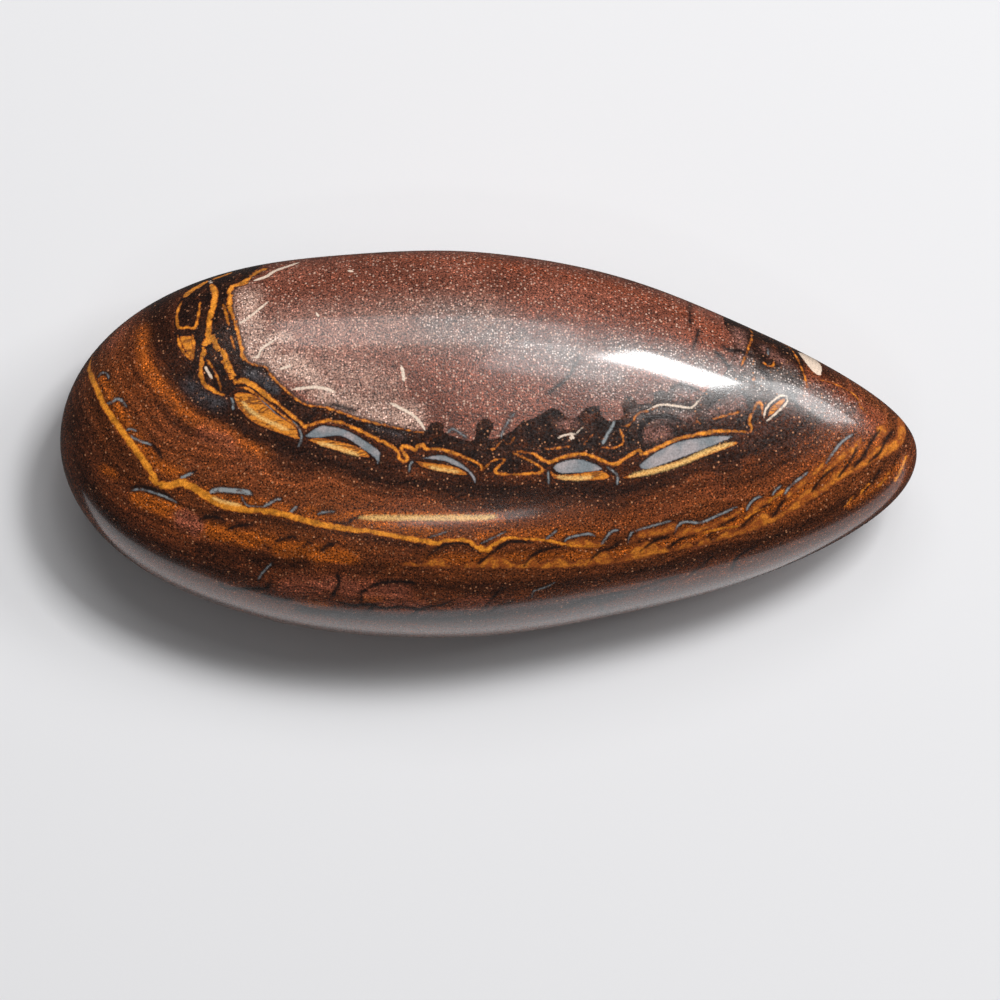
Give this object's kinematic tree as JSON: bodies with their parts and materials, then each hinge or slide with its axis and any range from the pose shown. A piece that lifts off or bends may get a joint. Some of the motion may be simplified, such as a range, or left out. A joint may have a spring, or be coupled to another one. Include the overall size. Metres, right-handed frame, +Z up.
{
  "type": "polished boulder opal drop",
  "caption": "Polished teardrop pebble of banded boulder opal with a domed crown, rounded flanks and a flat ground underside to rest on.",
  "frame": {"origin": "middle of the stone's box, on the surface that it lies on", "axes": "+X along the stone from its blunt end to its tip, +Y to its back flank, +Z up out of its crown"},
  "size_m": [0.036, 0.0163, 0.0091],
  "materials": {
    "boulder_opal": "polished ironstone, brown, with orange and gold veins and blue-grey opal"
  },
  "bodies": {
    "root": {"boulder_opal_stone": "boulder_opal"}
  },
  "joints": []
}
